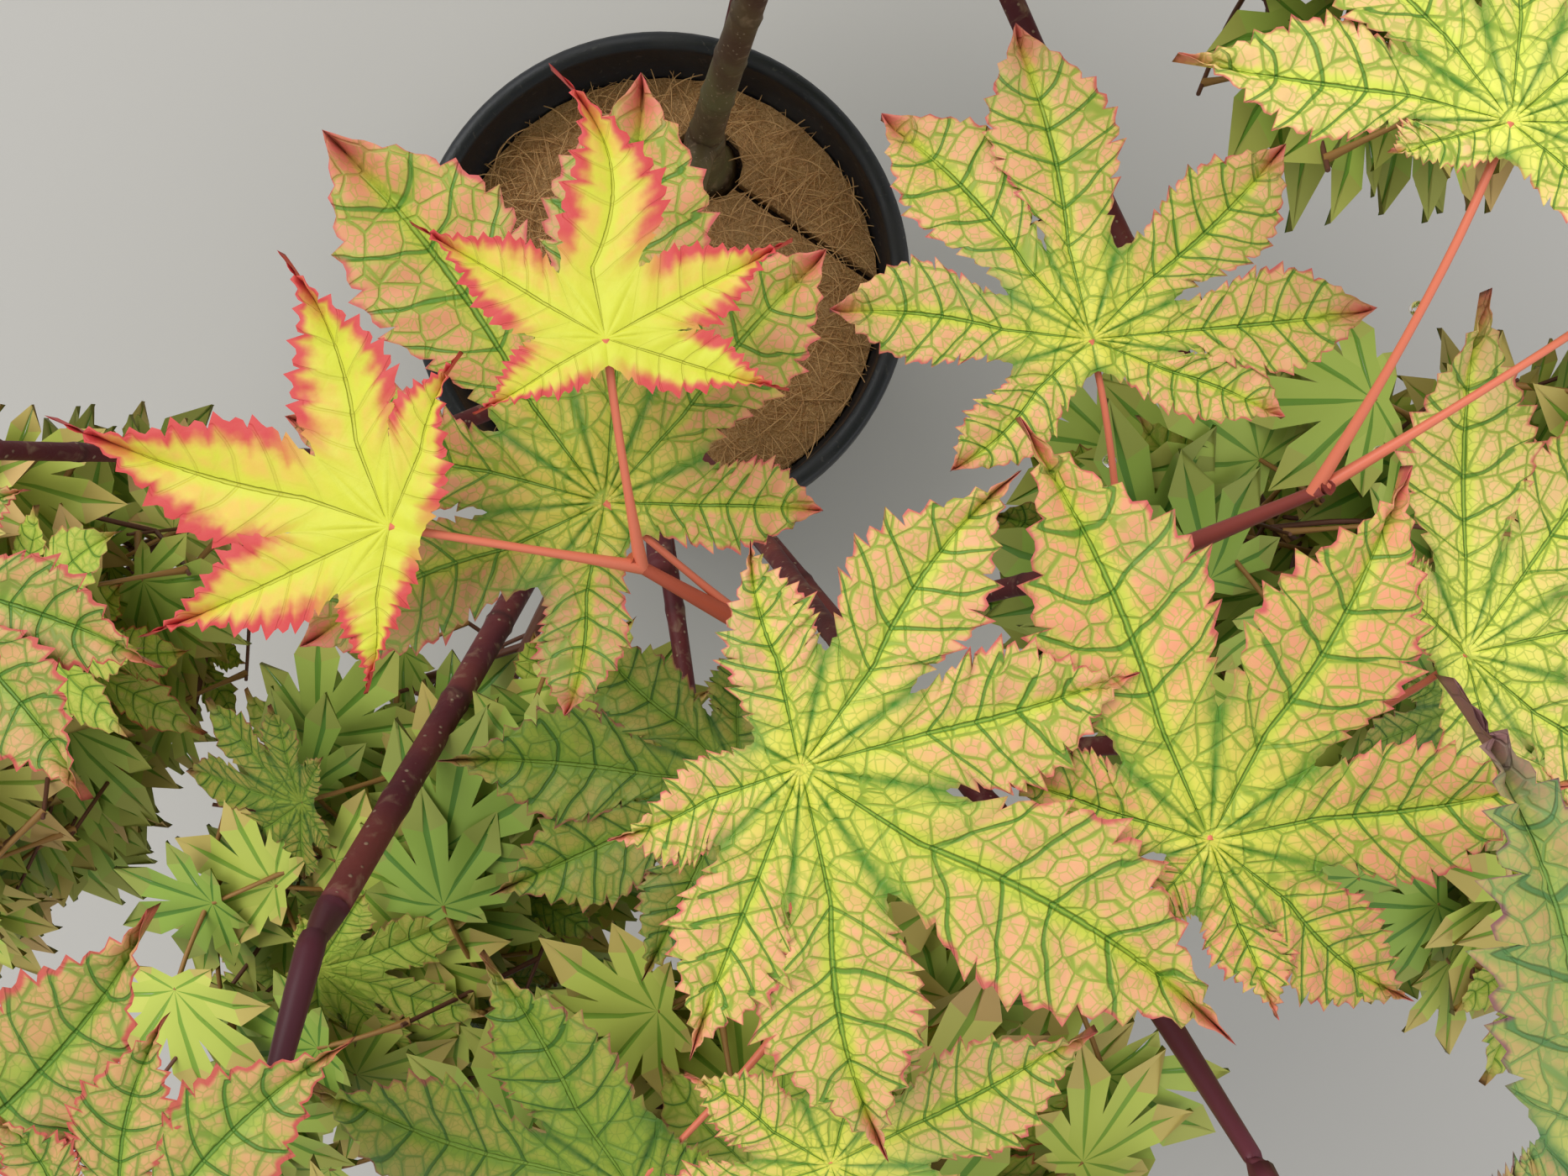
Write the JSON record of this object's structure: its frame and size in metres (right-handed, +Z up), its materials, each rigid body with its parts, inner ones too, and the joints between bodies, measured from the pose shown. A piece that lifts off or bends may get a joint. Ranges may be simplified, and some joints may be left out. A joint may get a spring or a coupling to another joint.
{
  "type": "potted japanese maple",
  "caption": "Young japanese maple in a round nursery pot: low forked stem, thin boughs, open sprays of lobed pink, cream and green leaves, and a fibre mulch disc on the compost.",
  "frame": {"origin": "centre of the pot's flat underside", "axes": "+Z up; +X and +Y are right and up in the picture, which looks straight down"},
  "size_m": [0.5425, 0.5948, 0.4882],
  "materials": {
    "pot": "moulded, slightly dusty",
    "compost": "crumbly, matte",
    "fibre_disc": "felted fibre, matte",
    "bark": "smooth young bark, satin",
    "foliage": "thin leaf, satin",
    "top_foliage": "thin leaf, satin"
  },
  "bodies": {
    "root": {"pot": "pot", "compost": "compost", "fibre_disc": "fibre_disc", "trunk": "bark", "stem_north": "bark", "bough_south": "bark", "bough_top": "bark", "bough_north": "bark", "bough_west": "bark", "bough_east": "bark", "bough_north_west": "bark", "bough_north_east": "bark", "bough_low_north": "bark", "bough_low_east": "bark", "bough_south_west": "bark", "bough_low_west": "bark", "bough_south_east": "bark", "bough_inner_south": "bark", "bough_low_south": "bark", "twig_left": "bark", "twig_right": "bark", "twig_east": "bark", "twig_south": "bark", "twig_west": "bark", "spray_left": "top_foliage", "spray_right": "top_foliage", "spray_east": "top_foliage", "spray_south_east": "top_foliage", "spray_south": "top_foliage", "spray_south_west": "top_foliage", "spray_west": "top_foliage", "crown_top": "foliage", "crown_north": "foliage", "crown_north_west": "foliage", "crown_north_east": "foliage", "crown_west": "foliage", "crown_east": "foliage", "crown_low_north": "foliage", "crown_low_west": "foliage", "crown_low_east": "foliage", "crown_low_south": "foliage", "crown_inner_south": "foliage"}
  },
  "joints": []
}
